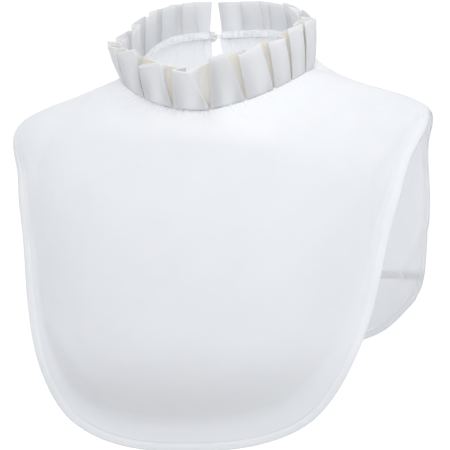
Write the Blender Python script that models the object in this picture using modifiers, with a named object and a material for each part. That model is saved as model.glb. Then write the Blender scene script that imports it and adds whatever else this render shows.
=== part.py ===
"""
Detachable shirt collar: a bib front and a shorter back joined at the shoulders, with a
box-pleated ruffle standing round the neck, a button and loop at the back slit, and an
elastic under each arm.

Metres and degrees. +Z is up and the wearer faces -Y. The origin is the middle of the neck
opening, at the height of the neck ends of the shoulder seams. Angles run round the neck:
0 at the front, 90 at +X, 180 at the back. Levels run down from the neck seam, 0, over the
shoulder edge, 2, to the lower hem of the front, 7.
"""
import math

import bmesh
import bpy
import numpy as np
from mathutils import Vector

COLLECTION_NAME = "detachable_shirt_collar"

# Thickness of the cloth, and the clearance kept between neighbouring pieces
PANEL_WALL = 0.0012
RUFFLE_WALL = 0.0010
CASING_WALL = 0.0010
ELASTIC_WALL = 0.0012
SEAM_GAP = 0.0003

# The worn form: a ring round the body at each level.
# level, half width, front depth, back depth, height, front drop, back rise, squareness,
# front bow, back bow
RING_COLUMNS = ("level", "half_width", "front_depth", "back_depth", "height",
                "front_drop", "back_rise", "squareness", "front_bow", "back_bow")
FORM_RINGS = (
    (0.0, 0.0740, 0.0530, 0.0530, 0.0000, 0.0240, 0.0300, 2.00, 2.00, 2.50),
    (1.0, 0.1115, 0.0660, 0.0680, -0.0130, 0.0240, 0.0120, 2.10, 1.50, 0.80),
    (2.0, 0.1610, 0.0820, 0.0800, -0.0316, 0.0230, 0.0100, 2.05, 1.10, 0.85),
    (3.0, 0.1612, 0.1020, 0.0900, -0.0625, 0.0200, 0.0030, 2.40, 1.00, 1.00),
    (4.0, 0.1646, 0.1170, 0.0960, -0.1000, 0.0140, 0.0000, 2.40, 1.00, 1.00),
    (5.0, 0.1680, 0.1310, 0.0980, -0.1550, 0.0080, 0.0000, 2.40, 1.00, 1.00),
    (6.0, 0.1720, 0.1360, 0.0960, -0.2050, 0.0030, 0.0000, 2.40, 1.00, 1.00),
    (7.0, 0.1760, 0.1180, 0.0880, -0.2720, 0.0000, 0.0000, 2.40, 1.00, 1.00),
)

# The lower edges: the level of the hem at each angle from the middle of the panel. The
# front hangs a little lower on one side.
FRONT_HEM = (
    # angle, level
    (-90.0, 2.22), (-84.0, 2.24), (-79.0, 2.30), (-72.0, 2.55), (-65.5, 3.00), (-59.5, 3.60),
    (-52.7, 4.30), (-48.6, 4.93), (-42.0, 5.82), (-36.0, 6.31), (-31.6, 6.53), (-26.0, 6.69),
    (-20.5, 6.79), (-15.5, 6.85), (-10.0, 6.89), (0.0, 6.90), (10.0, 6.84), (15.5, 6.77),
    (20.5, 6.68), (26.0, 6.53), (31.6, 6.29), (36.0, 6.03), (42.0, 5.53), (48.6, 4.75),
    (52.7, 4.27), (59.5, 3.60), (65.5, 3.00), (72.0, 2.55), (79.0, 2.30), (84.0, 2.24),
    (90.0, 2.22),
)
BACK_HEM = (
    (0.0, 6.53), (14.0, 6.47), (28.0, 6.33), (37.0, 6.18), (46.0, 5.91), (53.4, 5.63),
    (58.3, 5.32), (64.2, 4.74), (71.3, 4.16), (78.4, 3.19), (84.0, 2.52), (90.0, 2.22),
)

# Panels: how finely they are divided, which row lies along the shoulder edge, and how the
# rows above it crowd towards the neck
FRONT_COLUMNS = 60
FRONT_ROWS = 13
BACK_COLUMNS = 48
BACK_ROWS = 12
SHOULDER_ROW = 5
SHOULDER_LEVEL = 2.0
ROW_CROWDING = 1.3

# Soft troughs that cross the panels.
# angle and level of one end, angle and level of the other, width, depth
FOLDS = (
    (56.0, 3.30, 44.0, 4.75, 0.0090, 0.0034),
    (44.0, 4.75, 31.0, 5.90, 0.0100, 0.0038),
    (31.0, 5.90, 14.0, 6.45, 0.0130, 0.0022),
    (-57.0, 3.10, -45.0, 4.60, 0.0110, 0.0024),
    (-45.0, 4.60, -30.0, 5.95, 0.0120, 0.0040),
    (-30.0, 5.95, -12.0, 6.50, 0.0130, 0.0024),
    (-70.0, 1.05, -50.0, 2.60, 0.0100, 0.0022),
    (66.0, 0.95, 52.0, 2.30, 0.0110, 0.0016),
    (118.0, 4.30, 132.0, 5.35, 0.0090, 0.0030),
    (132.0, 5.35, 150.0, 5.95, 0.0110, 0.0022),
    (-118.0, 4.30, -132.0, 5.35, 0.0090, 0.0026),
    (-132.0, 5.35, -150.0, 5.95, 0.0110, 0.0022),
)

# Gathers just below the neck seam
GATHER_PITCH_DEG = 6.0
GATHER_DEPTH = 0.0009
GATHER_PEAK_LEVEL = 0.30
GATHER_FADE_LEVEL = 0.45

# The slit at the back, which sits a little to the left where it meets the neck.
# level, angle that the back is turned by
SLIT_TURN = ((0.0, 9.3), (1.0, 5.6), (2.0, 3.0), (3.0, 0.9), (4.0, 0.0), (7.0, 0.0))
SLIT_ROWS = 7
SLIT_HALF_GAP_NECK = 0.0040
SLIT_HALF_GAP_WIDEST = 0.0046
SLIT_SPREAD_DEG = 14.0

# The ruffle: where its top edge stands over the neck seam.
# angle, shift along X, shift along Y, rise
RUFFLE_LEAN = (
    (-171.0, -0.0055, 0.0270, 0.0262),
    (-147.0, -0.0060, 0.0235, 0.0272),
    (-134.0, -0.0048, 0.0190, 0.0282),
    (-118.0, -0.0040, 0.0125, 0.0290),
    (-87.0, -0.0030, -0.0080, 0.0265),
    (-60.0, 0.0004, -0.0155, 0.0248),
    (-39.0, 0.0045, -0.0180, 0.0250),
    (-17.6, 0.0035, -0.0200, 0.0245),
    (4.6, -0.0010, -0.0190, 0.0280),
    (25.6, -0.0065, -0.0140, 0.0318),
    (44.0, -0.0062, -0.0080, 0.0305),
    (57.0, -0.0040, -0.0040, 0.0312),
    (92.0, -0.0010, 0.0030, 0.0355),
    (107.0, -0.0030, 0.0100, 0.0315),
    (125.0, -0.0045, 0.0190, 0.0262),
    (144.0, -0.0058, 0.0250, 0.0240),
    (164.0, -0.0068, 0.0268, 0.0248),
    (189.0, -0.0076, 0.0272, 0.0262),
)
RUFFLE_LIFT = 0.0015
RUFFLE_BULGE = 0.0012
RUFFLE_ROWS = 3
RUFFLE_START_DEG = -167.0
RUFFLE_END_DEG = 185.0
RUFFLE_TOP_START_DEG = -168.6
RUFFLE_TOP_END_DEG = 186.2

# Each inverted pleat: angle, half opening, depth, drift and slant, the last four at the top.
# Drift shifts the whole pleat along the edge, and slant only the layer at its back.
PLEATS = (
    (-154.5, 0.0026, 0.0085, 0.0000, 0.0000),
    (-140.0, 0.0024, 0.0080, 0.0000, 0.0000),
    (-125.5, 0.0026, 0.0085, 0.0000, 0.0000),
    (-111.0, 0.0026, 0.0085, 0.0000, 0.0005),
    (-95.0, 0.0030, 0.0090, 0.0000, 0.0015),
    (-78.0, 0.0026, 0.0095, 0.0000, 0.0025),
    (-59.0, 0.0024, 0.0100, 0.0000, 0.0035),
    (-39.1, 0.0016, 0.0100, -0.0010, 0.0045),
    (-17.6, 0.0046, 0.0115, 0.0000, 0.0035),
    (4.6, 0.0070, 0.0110, -0.0005, 0.0080),
    (25.6, 0.0044, 0.0120, 0.0000, 0.0040),
    (44.0, 0.0032, 0.0110, 0.0000, 0.0030),
    (58.0, 0.0018, 0.0090, 0.0000, 0.0025),
    (73.0, 0.0022, 0.0080, 0.0000, 0.0015),
    (90.0, 0.0024, 0.0080, 0.0000, 0.0000),
    (107.0, 0.0024, 0.0080, 0.0000, 0.0000),
    (125.0, 0.0026, 0.0085, 0.0000, 0.0000),
    (144.0, 0.0026, 0.0085, 0.0000, 0.0000),
    (164.0, 0.0026, 0.0085, 0.0000, 0.0000),
)
LAYER_PITCH = 0.0014
FOLD_ROUND = 0.0006
UNDERLAP_SHARE = 0.43
UNDERLAP_LONGEST = 0.0095
TOP_UNDERLAP_SHARE = 0.88
FACE_BULGE = 0.0007

# The casing inside the neck seam
CASING_BELOW = 0.0026
CASING_ABOVE = 0.0030
CASING_COLUMNS = 60

# The side elastics: end points as angle and level on the panels, their width, their bow
ELASTIC_FRONT_END = (46.2, 4.68)
ELASTIC_BACK_END = (132.0, 5.275)
ELASTIC_WIDTH = 0.0060
ELASTIC_BOW = 0.0050
ELASTIC_STEPS = 12
ELASTIC_CLEARANCE = 0.0007

# The button, on its thread shank outside the left edge of the slit
BUTTON_RADIUS = 0.0045
BUTTON_THICKNESS = 0.0022
BUTTON_RIM_WIDTH = 0.0010
BUTTON_DISH = 0.0005
BUTTON_EDGE_ROUND = 0.0005
BUTTON_HOLE_RADIUS = 0.0005
BUTTON_HOLE_OFFSET = 0.0010
BUTTON_DEG = -168.0
BUTTON_DROP = 0.0008
BUTTON_STANDOFF = 0.0058
STEM_RADIUS = 0.0010
STEM_ROOT_STANDOFF = 0.0024
TURNED_STEPS = 24

# The loop from the right edge of the slit, round the shank
LOOP_RADIUS = 0.00045
LOOP_ROOT_DEG = 186.5
LOOP_ROOT_STANDOFF = 0.0037
LOOP_STEM_STANDOFF = 0.0041
LOOP_ROOT_HALF_SPREAD = 0.0007
LOOP_BEND_STEPS = 8
LOOP_STRAND_STEPS = 5


def smooth_curve(knots, values, at):
    """Reads a smooth curve through (knots, values); beyond the ends it keeps the end value."""
    knots = np.asarray(knots, float)
    values = np.asarray(values, float)
    at = np.clip(np.asarray(at, float), knots[0], knots[-1])
    slopes = np.gradient(values, knots)
    left = np.clip(np.searchsorted(knots, at, side="right") - 1, 0, len(knots) - 2)
    step = knots[left + 1] - knots[left]
    t = (at - knots[left]) / step
    return ((2 * t**3 - 3 * t**2 + 1) * values[left]
            + (t**3 - 2 * t**2 + t) * step * slopes[left]
            + (3 * t**2 - 2 * t**3) * values[left + 1]
            + (t**3 - t**2) * step * slopes[left + 1])


def table_curve(table, column, at):
    """Reads one column of a table against its first column."""
    rows = np.array(table)
    return smooth_curve(rows[:, 0], rows[:, column], at)


def ring_value(name, level):
    """Reads one size of the worn form at a level."""
    return table_curve(FORM_RINGS, RING_COLUMNS.index(name), level)


def signed_power(value, exponent):
    """Raises the size of a value to a power and keeps its sign."""
    return np.sign(value) * np.abs(value) ** exponent


def ring_point(deg, level):
    """Points of the worn form, at angles round the body and levels."""
    angle = np.radians(np.asarray(deg, float))
    level = np.asarray(level, float)
    exponent = 2.0 / ring_value("squareness", level)
    ahead = signed_power(np.cos(angle), exponent)
    front_lean = np.abs(ahead) ** ring_value("front_bow", level)
    back_lean = 1.0 - np.maximum(1.0 - ahead**2, 0.0) ** ring_value("back_bow", level)
    x = ring_value("half_width", level) * signed_power(np.sin(angle), exponent)
    y = -ahead * np.where(ahead > 0, ring_value("front_depth", level),
                          ring_value("back_depth", level))
    z = ring_value("height", level) + np.where(
        ahead > 0, -ring_value("front_drop", level) * front_lean,
        ring_value("back_rise", level) * back_lean)
    return np.stack((x, y, z), axis=-1)


def panel_base(deg, level):
    """Points of a panel before its folds, with the back turned so the slit sits aside."""
    deg = np.asarray(deg, float)
    backness = ((1.0 - np.cos(np.radians(deg))) / 2.0) ** 2
    return ring_point(deg + table_curve(SLIT_TURN, 1, level) * backness, level)


def outward_normal(deg, level, step=0.05):
    """The outward normals of a panel before its folds."""
    level = np.asarray(level, float)
    along = panel_base(deg + step, level) - panel_base(deg - step, level)
    down = (panel_base(deg, np.minimum(level + step, 7.0))
            - panel_base(deg, np.maximum(level - step, 0.0)))
    normal = np.cross(down, along)
    return normal / np.linalg.norm(normal, axis=-1, keepdims=True)


def distance_to_segment(points, start, end):
    """Distances from points to a straight segment."""
    span = end - start
    share = np.clip((points - start) @ span / (span @ span), 0.0, 1.0)
    return np.linalg.norm(points - start - share[..., None] * span, axis=-1)


def relief(points, deg, level):
    """How far a panel stands out from its base, with its folds and its gathers."""
    height = np.zeros(np.shape(deg))
    for deg_a, level_a, deg_b, level_b, width, depth in FOLDS:
        distance = distance_to_segment(points, panel_base(deg_a, level_a),
                                       panel_base(deg_b, level_b))
        height -= depth * np.exp(-(distance / width) ** 2)
    fade = np.exp(-((level - GATHER_PEAK_LEVEL) / GATHER_FADE_LEVEL) ** 2)
    rooted = np.minimum(1.0, level / GATHER_PEAK_LEVEL)
    facing = 0.35 + 0.65 * np.cos(np.radians(deg)) ** 2
    wave = np.cos(2.0 * np.pi * deg / GATHER_PITCH_DEG)
    return height + GATHER_DEPTH * wave * fade * rooted * facing


def panel_point(deg, level, outward=0.0):
    """Points of the finished panel surface, moved outward by a distance."""
    deg = np.asarray(deg, float)
    level = np.asarray(level, float)
    base = panel_base(deg, level)
    stand = relief(base, deg, level) + outward
    return base + outward_normal(deg, level) * stand[..., None]


def make_material(name, colour, roughness):
    """A plain material of one colour."""
    material = bpy.data.materials.new(name)
    material.use_nodes = True
    surface = material.node_tree.nodes["Principled BSDF"]
    surface.inputs["Base Color"].default_value = (*colour, 1.0)
    surface.inputs["Roughness"].default_value = roughness
    surface.inputs["Metallic"].default_value = 0.0
    return material


def add_object(name, mesh, material, collection):
    """Puts a mesh in the scene as a named piece."""
    piece = bpy.data.objects.new(name, mesh)
    piece.data.materials.append(material)
    collection.objects.link(piece)
    return piece


def mesh_from(bm, name):
    """Turns an edited mesh into mesh data, shaded smooth."""
    mesh = bpy.data.meshes.new(name)
    bm.to_mesh(mesh)
    bm.free()
    mesh.shade_smooth()
    return mesh


def add_wall(piece, thickness):
    """Gives an open surface the thickness of its cloth, half to each side."""
    wall = piece.modifiers.new("cloth wall", "SOLIDIFY")
    wall.thickness = thickness
    wall.offset = 0.0
    wall.use_quality_normals = True
    return wall


def cloth_grid(columns, rows):
    """A flat grid from (0, 0) to (1, 1), ready to be laid on a form."""
    bm = bmesh.new()
    bmesh.ops.create_grid(bm, x_segments=columns, y_segments=rows, size=0.5)
    bmesh.ops.translate(bm, verts=bm.verts, vec=(0.5, 0.5, 0.0))
    return bm


def row_level(share, rows, hem_level):
    """The level of a row: from the neck to the shoulder edge, then on down to the hem."""
    shoulder = SHOULDER_ROW / rows
    above = SHOULDER_LEVEL * np.minimum(share / shoulder, 1.0) ** ROW_CROWDING
    below = np.maximum(share - shoulder, 0.0) / (1.0 - shoulder)
    return above + (hem_level - SHOULDER_LEVEL) * below


def build_front_panel(material, collection):
    """The bib front, from one shoulder seam to the other and from the neck to its hem."""
    bm = cloth_grid(FRONT_COLUMNS, FRONT_ROWS)
    across = np.array([vert.co.x for vert in bm.verts])
    down = np.array([vert.co.y for vert in bm.verts])
    deg = -90.0 + 180.0 * across
    hem_level = table_curve(FRONT_HEM, 1, deg)
    places = panel_point(deg, row_level(down, FRONT_ROWS, hem_level))
    places[np.abs(deg) > 89.9, 1] -= SEAM_GAP / 2
    for vert, place in zip(bm.verts, places):
        vert.co = Vector(place)
    piece = add_object("front_panel", mesh_from(bm, "front_panel"), material, collection)
    add_wall(piece, PANEL_WALL)


def slit_half_gap(share):
    """Half the width of the open slit, from the neck, share 0, to its lower end, share 1."""
    widest = 0.22
    above = SLIT_HALF_GAP_NECK + (SLIT_HALF_GAP_WIDEST - SLIT_HALF_GAP_NECK) * share / widest
    closing = np.clip((1.0 - share) / (1.0 - widest), 0.0, 1.0)
    return np.where(share < widest, above, SLIT_HALF_GAP_WIDEST * closing**1.3)


def build_back_panel(material, collection):
    """The shorter back, slit from the neck, from one shoulder seam round to the other."""
    bm = cloth_grid(BACK_COLUMNS, BACK_ROWS)
    middle = 0.5
    slit_foot = SLIT_ROWS / BACK_ROWS
    slit_edges = []
    for edge in bm.edges:
        on_middle = all(abs(vert.co.x - middle) < 1e-4 for vert in edge.verts)
        if on_middle and max(vert.co.y for vert in edge.verts) < slit_foot + 1e-4:
            slit_edges.append(edge)
    bmesh.ops.split_edges(bm, edges=slit_edges)
    side = np.array([1.0 if sum(face.calc_center_median().x - middle
                                for face in vert.link_faces) > 0 else -1.0
                     for vert in bm.verts])
    across = np.array([vert.co.x for vert in bm.verts])
    down = np.array([vert.co.y for vert in bm.verts])
    deg = 90.0 + 180.0 * across
    from_middle = np.abs(deg - 180.0)
    hem_level = table_curve(BACK_HEM, 1, from_middle)
    places = panel_point(deg, row_level(down, BACK_ROWS, hem_level))
    spread = np.clip(1.0 - from_middle / SLIT_SPREAD_DEG, 0.0, 1.0)
    places[:, 0] -= side * slit_half_gap(down / slit_foot) * spread
    places[from_middle > 89.9, 1] += SEAM_GAP / 2
    for vert, place in zip(bm.verts, places):
        vert.co = Vector(place)
    piece = add_object("back_panel", mesh_from(bm, "back_panel"), material, collection)
    add_wall(piece, PANEL_WALL)


def ruffle_lean(deg):
    """How far the top edge of the ruffle stands from the neck seam below it."""
    return np.array([float(table_curve(RUFFLE_LEAN, column, deg)) for column in (1, 2, 3)])


def neck_outward(deg):
    """The level direction that points straight out of the neck ring."""
    along = ring_point(deg + 0.5, 0.0) - ring_point(deg - 0.5, 0.0)
    outward = np.array((along[1], -along[0], 0.0))
    return outward / np.linalg.norm(outward)


def ruffle_point(deg, outward, share):
    """A point of the standing strip, from the seam, share 0, to its top edge, share 1."""
    seam = ring_point(deg, 0.0) + np.array((0.0, 0.0, RUFFLE_LIFT))
    bulge = RUFFLE_BULGE * math.sin(math.pi * share)
    return seam + ruffle_lean(deg) * share + neck_outward(deg) * (outward + bulge)


def arc_per_degree(deg, share):
    """Length round the ruffle for one degree."""
    return np.linalg.norm(ruffle_point(deg + 0.5, 0.0, share) - ruffle_point(deg - 0.5, 0.0, share))


def underlap(angle):
    """How far the hidden layer of a pleat reaches to each side of it, at the seam."""
    angles = [row[0] for row in PLEATS] + [RUFFLE_START_DEG, RUFFLE_END_DEG]
    nearest = min(abs(other - angle) for other in angles if other != angle)
    return min(UNDERLAP_LONGEST, UNDERLAP_SHARE * nearest * arc_per_degree(angle, 0.0))


def pleat_half(angle, half_opening, depth, drift, slant, side):
    """
    One half of an inverted pleat, from the outer face to the middle of its back: for each
    column, its angle and its distance out, first at the seam and then at the top edge.
    """
    half_depth = depth / 2.0
    under = underlap(angle)
    top_under = max(under * TOP_UNDERLAP_SHARE, half_opening) + side * slant
    edge = RUFFLE_WALL / 2 + SEAM_GAP / 2
    seam_columns = (
        (edge + FOLD_ROUND, LAYER_PITCH),
        (edge, LAYER_PITCH / 2),
        (edge + FOLD_ROUND, 0.0),
        (under - FOLD_ROUND, 0.0),
        (under, -LAYER_PITCH / 2),
        (under - FOLD_ROUND, -LAYER_PITCH),
    )
    top_columns = (
        (half_opening + 2.0 * FOLD_ROUND, half_depth),
        (half_opening, half_depth - FOLD_ROUND),
        (half_opening * 0.8 + top_under * 0.2, half_depth * 0.55),
        (half_opening * 0.2 + top_under * 0.8, -half_depth * 0.55),
        (top_under, FOLD_ROUND - half_depth),
        (top_under - 2.0 * FOLD_ROUND, -half_depth),
    )
    columns = []
    for (seam_shift, seam_out), (top_shift, top_out) in zip(seam_columns, top_columns):
        seam_deg = angle + side * seam_shift / arc_per_degree(angle, 0.0)
        top_deg = angle + (side * top_shift + drift) / arc_per_degree(angle, 1.0)
        columns.append((seam_deg, seam_out, top_deg, top_out))
    return columns


def ruffle_columns():
    """All columns of the pleated strip, from one edge of the slit round to the other."""
    columns = [(RUFFLE_START_DEG, LAYER_PITCH, RUFFLE_TOP_START_DEG, 0.0040)]
    for angle, half_opening, depth, drift, slant in PLEATS:
        before = pleat_half(angle, half_opening, depth, drift, slant, -1.0)
        after = pleat_half(angle, half_opening, depth, drift, slant, 1.0)
        last = columns[-1]
        first = before[0]
        for share in (1.0 / 3.0, 2.0 / 3.0):
            blended = [a + (b - a) * share for a, b in zip(last, first)]
            blended[3] += FACE_BULGE
            columns.append(tuple(blended))
        columns.extend(before)
        top_middle = angle + (drift + slant) / arc_per_degree(angle, 1.0)
        columns.append((angle, -LAYER_PITCH, top_middle, -depth / 2.0))
        columns.extend(reversed(after))
    columns.append((RUFFLE_END_DEG, LAYER_PITCH, RUFFLE_TOP_END_DEG, 0.0040))
    return columns


def build_ruffle(material, collection):
    """The box-pleated strip that stands round the neck, open at the back slit."""
    columns = ruffle_columns()
    bm = cloth_grid(len(columns) - 1, RUFFLE_ROWS)
    for vert in bm.verts:
        seam_deg, seam_out, top_deg, top_out = columns[round(vert.co.x * (len(columns) - 1))]
        share = vert.co.y
        deg = seam_deg + (top_deg - seam_deg) * share
        outward = seam_out + (top_out - seam_out) * share
        vert.co = Vector(ruffle_point(deg, outward, share))
    piece = add_object("neck_ruffle", mesh_from(bm, "neck_ruffle"), material, collection)
    add_wall(piece, RUFFLE_WALL)


def build_casing(material, collection):
    """The band round the inside of the neck seam that holds the elastic."""
    inward = LAYER_PITCH + RUFFLE_WALL / 2 + SEAM_GAP + CASING_WALL / 2
    bm = cloth_grid(CASING_COLUMNS, 1)
    for vert in bm.verts:
        deg = RUFFLE_START_DEG + (RUFFLE_END_DEG - RUFFLE_START_DEG) * vert.co.x
        rise = CASING_ABOVE - (CASING_ABOVE + CASING_BELOW) * vert.co.y
        place = ring_point(deg, 0.0) - neck_outward(deg) * inward
        vert.co = Vector(place + np.array((0.0, 0.0, rise)))
    piece = add_object("neck_casing", mesh_from(bm, "neck_casing"), material, collection)
    add_wall(piece, CASING_WALL)


def build_elastic(name, side, material, collection):
    """A flat elastic under the arm, from inside the front's side hem to inside the back's."""
    inward = PANEL_WALL / 2 + ELASTIC_CLEARANCE + ELASTIC_WALL / 2
    front_deg, front_level = ELASTIC_FRONT_END
    back_deg, back_level = ELASTIC_BACK_END
    front_place = panel_point(side * front_deg, front_level, -inward)
    back_place = panel_point(side * back_deg, back_level, -inward)
    front_across = outward_normal(side * front_deg, front_level)
    back_across = outward_normal(side * back_deg, back_level)
    along = back_place - front_place
    bm = cloth_grid(ELASTIC_STEPS, 1)
    for vert in bm.verts:
        share = vert.co.x
        middle = front_place + along * share
        middle[0] += side * ELASTIC_BOW * math.sin(math.pi * share)
        facing = front_across + (back_across - front_across) * share
        across = np.cross(facing, along)
        across /= np.linalg.norm(across)
        vert.co = Vector(middle + across * ELASTIC_WIDTH * (vert.co.y - 0.5))
    piece = add_object(name, mesh_from(bm, name), material, collection)
    add_wall(piece, ELASTIC_WALL)


def slit_frame():
    """The place on the neck that the button sits over, and the direction out of the neck there."""
    middle = ring_point(BUTTON_DEG, 0.0) - np.array((0.0, 0.0, BUTTON_DROP))
    return middle, neck_outward(BUTTON_DEG)


def turned_piece(name, profile, place, facing, material, collection):
    """A solid turned from a profile of radius and height, with its axis along facing."""
    mesh = bpy.data.meshes.new(name)
    points = [(radius, 0.0, height) for radius, height in profile]
    edges = [(index, index + 1) for index in range(len(points) - 1)]
    mesh.from_pydata(points, edges, [])
    piece = add_object(name, mesh, material, collection)
    turn = piece.modifiers.new("turned", "SCREW")
    turn.steps = TURNED_STEPS
    turn.render_steps = TURNED_STEPS
    turn.use_merge_vertices = True
    turn.merge_threshold = 0.00001
    piece.location = Vector(place)
    piece.rotation_mode = "QUATERNION"
    piece.rotation_quaternion = Vector(facing).to_track_quat("Z", "Y")
    return piece


def build_button(material, collection, cutters):
    """A small four-hole button that faces out of the back of the neck."""
    middle, outward = slit_frame()
    half = BUTTON_THICKNESS / 2.0
    radius = BUTTON_RADIUS
    profile = (
        (0.0, half - BUTTON_DISH),
        (radius - 2.0 * BUTTON_RIM_WIDTH, half - BUTTON_DISH),
        (radius - BUTTON_RIM_WIDTH, half),
        (radius - BUTTON_EDGE_ROUND, half),
        (radius, half - BUTTON_EDGE_ROUND),
        (radius, BUTTON_EDGE_ROUND - half),
        (radius - BUTTON_EDGE_ROUND, -half),
        (0.0, -half),
    )
    place = middle + outward * (BUTTON_STANDOFF + half)
    button = turned_piece("button", profile, place, outward, material, collection)
    bm = bmesh.new()
    for across in (-BUTTON_HOLE_OFFSET, BUTTON_HOLE_OFFSET):
        for up in (-BUTTON_HOLE_OFFSET, BUTTON_HOLE_OFFSET):
            made = bmesh.ops.create_cone(bm, cap_ends=True, segments=8,
                                         radius1=BUTTON_HOLE_RADIUS, radius2=BUTTON_HOLE_RADIUS,
                                         depth=2.0 * BUTTON_THICKNESS)
            bmesh.ops.translate(bm, verts=made["verts"], vec=(across, up, 0.0))
    holes = add_object("button_hole_cutter", mesh_from(bm, "button_hole_cutter"), material,
                       cutters)
    holes.location = button.location
    holes.rotation_mode = "QUATERNION"
    holes.rotation_quaternion = button.rotation_quaternion
    holes.hide_render = True
    holes.display_type = "WIRE"
    cut = button.modifiers.new("thread holes", "BOOLEAN")
    cut.operation = "DIFFERENCE"
    cut.solver = "EXACT"
    cut.object = holes


def build_stem(material, collection):
    """The wound thread shank between the cloth and the button."""
    middle, outward = slit_frame()
    length = BUTTON_STANDOFF - SEAM_GAP - STEM_ROOT_STANDOFF
    bm = bmesh.new()
    bmesh.ops.create_cone(bm, cap_ends=True, segments=12, radius1=STEM_RADIUS,
                          radius2=STEM_RADIUS, depth=length)
    stem = add_object("button_stem", mesh_from(bm, "button_stem"), material, collection)
    stem.location = Vector(middle + outward * (STEM_ROOT_STANDOFF + length / 2.0))
    stem.rotation_mode = "QUATERNION"
    stem.rotation_quaternion = Vector(outward).to_track_quat("Z", "Y")


def build_loop(material, collection):
    """The thin loop that runs from the right edge of the slit and round the shank."""
    middle, outward = slit_frame()
    upward = np.array((0.0, 0.0, 1.0))
    root = ring_point(LOOP_ROOT_DEG, 0.0) - upward * BUTTON_DROP
    root = root + neck_outward(LOOP_ROOT_DEG) * LOOP_ROOT_STANDOFF
    bend_middle = middle + outward * LOOP_STEM_STANDOFF
    towards_root = root - bend_middle
    towards_root /= np.linalg.norm(towards_root)
    bend_radius = STEM_RADIUS + LOOP_RADIUS + SEAM_GAP
    points = []
    for side in (1.0, -1.0):
        start = root + upward * side * LOOP_ROOT_HALF_SPREAD
        end = bend_middle + upward * side * bend_radius
        strand = [start + (end - start) * step / LOOP_STRAND_STEPS
                  for step in range(LOOP_STRAND_STEPS)]
        if side > 0:
            points.extend(strand)
            for step in range(LOOP_BEND_STEPS + 1):
                angle = math.pi * step / LOOP_BEND_STEPS
                points.append(bend_middle + upward * bend_radius * math.cos(angle)
                              - towards_root * bend_radius * math.sin(angle))
        else:
            points.extend(reversed(strand))
    curve = bpy.data.curves.new("button_loop", "CURVE")
    curve.dimensions = "3D"
    curve.bevel_depth = LOOP_RADIUS
    curve.bevel_resolution = 2
    curve.use_fill_caps = True
    line = curve.splines.new("POLY")
    line.points.add(len(points) - 1)
    for control, place in zip(line.points, points):
        control.co = (*place, 1.0)
    line.use_smooth = True
    add_object("button_loop", curve, material, collection)


def remove_scene_objects():
    """Starts from an empty scene."""
    for old in list(bpy.data.objects):
        bpy.data.objects.remove(old, do_unlink=True)


def build():
    """Builds the whole collar."""
    remove_scene_objects()
    collection = bpy.data.collections.new(COLLECTION_NAME)
    bpy.context.scene.collection.children.link(collection)
    cutters = bpy.data.collections.new("cutters")
    bpy.context.scene.collection.children.link(cutters)
    cotton = make_material("white cotton", (0.88, 0.88, 0.89), 0.8)
    ruffle_cloth = make_material("white ruffle cotton", (0.90, 0.89, 0.86), 0.75)
    tape = make_material("white elastic tape", (0.85, 0.85, 0.84), 0.7)
    shell = make_material("white button", (0.90, 0.89, 0.87), 0.25)
    thread = make_material("white thread", (0.86, 0.86, 0.86), 0.8)
    build_front_panel(cotton, collection)
    build_back_panel(cotton, collection)
    build_ruffle(ruffle_cloth, collection)
    build_casing(cotton, collection)
    build_elastic("side_elastic_left", 1.0, tape, collection)
    build_elastic("side_elastic_right", -1.0, tape, collection)
    build_button(shell, collection, cutters)
    build_stem(thread, collection)
    build_loop(thread, collection)


build()
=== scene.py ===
"""
A detachable shirt collar: a bib front and a shorter back of white cotton, a box-pleated
ruffle round the neck, a button and loop at the back slit, and an elastic under each arm.
It keeps the shape it has when it is worn over a chest that isn't there.
"""
import math

import bpy
import numpy as np
from mathutils import Matrix, Vector, kdtree


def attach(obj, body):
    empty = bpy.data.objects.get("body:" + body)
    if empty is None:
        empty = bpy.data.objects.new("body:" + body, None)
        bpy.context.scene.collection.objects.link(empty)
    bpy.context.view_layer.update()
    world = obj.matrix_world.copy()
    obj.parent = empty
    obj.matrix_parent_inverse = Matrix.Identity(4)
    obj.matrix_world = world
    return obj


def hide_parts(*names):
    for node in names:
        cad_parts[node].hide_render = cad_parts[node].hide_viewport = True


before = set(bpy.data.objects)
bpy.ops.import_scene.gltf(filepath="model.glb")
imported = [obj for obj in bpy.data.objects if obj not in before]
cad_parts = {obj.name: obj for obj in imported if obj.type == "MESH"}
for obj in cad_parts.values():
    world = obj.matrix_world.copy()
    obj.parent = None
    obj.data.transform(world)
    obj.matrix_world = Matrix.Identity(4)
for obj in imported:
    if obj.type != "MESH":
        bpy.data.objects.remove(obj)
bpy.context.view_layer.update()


# The bib front.
# One piece of white cotton shirting, cut with a scooped neck and a deep rounded lower
# edge. Its edge is turned up twice and topstitched, and its neck is gathered a little.
BODY_RINGS = {
    "level": (0.0, 1.0, 2.0, 3.0, 4.0, 5.0, 6.0, 7.0),
    "half_width": (0.0740, 0.1115, 0.1610, 0.1612, 0.1646, 0.1680, 0.1720, 0.1760),
    "front_depth": (0.0530, 0.0660, 0.0820, 0.1020, 0.1170, 0.1310, 0.1360, 0.1180),
    "back_depth": (0.0530, 0.0680, 0.0800, 0.0900, 0.0960, 0.0980, 0.0960, 0.0880),
    "height": (0.0, -0.0130, -0.0316, -0.0625, -0.1000, -0.1550, -0.2050, -0.2720),
    "front_drop": (0.0240, 0.0240, 0.0230, 0.0200, 0.0140, 0.0080, 0.0030, 0.0),
    "back_rise": (0.0300, 0.0120, 0.0100, 0.0030, 0.0, 0.0, 0.0, 0.0),
    "squareness": (2.00, 2.10, 2.05, 2.40, 2.40, 2.40, 2.40, 2.40),
    "front_bow": (2.00, 1.50, 1.10, 1.0, 1.0, 1.0, 1.0, 1.0),
    "back_bow": (2.50, 0.80, 0.85, 1.0, 1.0, 1.0, 1.0, 1.0),
}
BACK_TURN_LEVELS = (0.0, 1.0, 2.0, 3.0, 4.0, 7.0)
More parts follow.
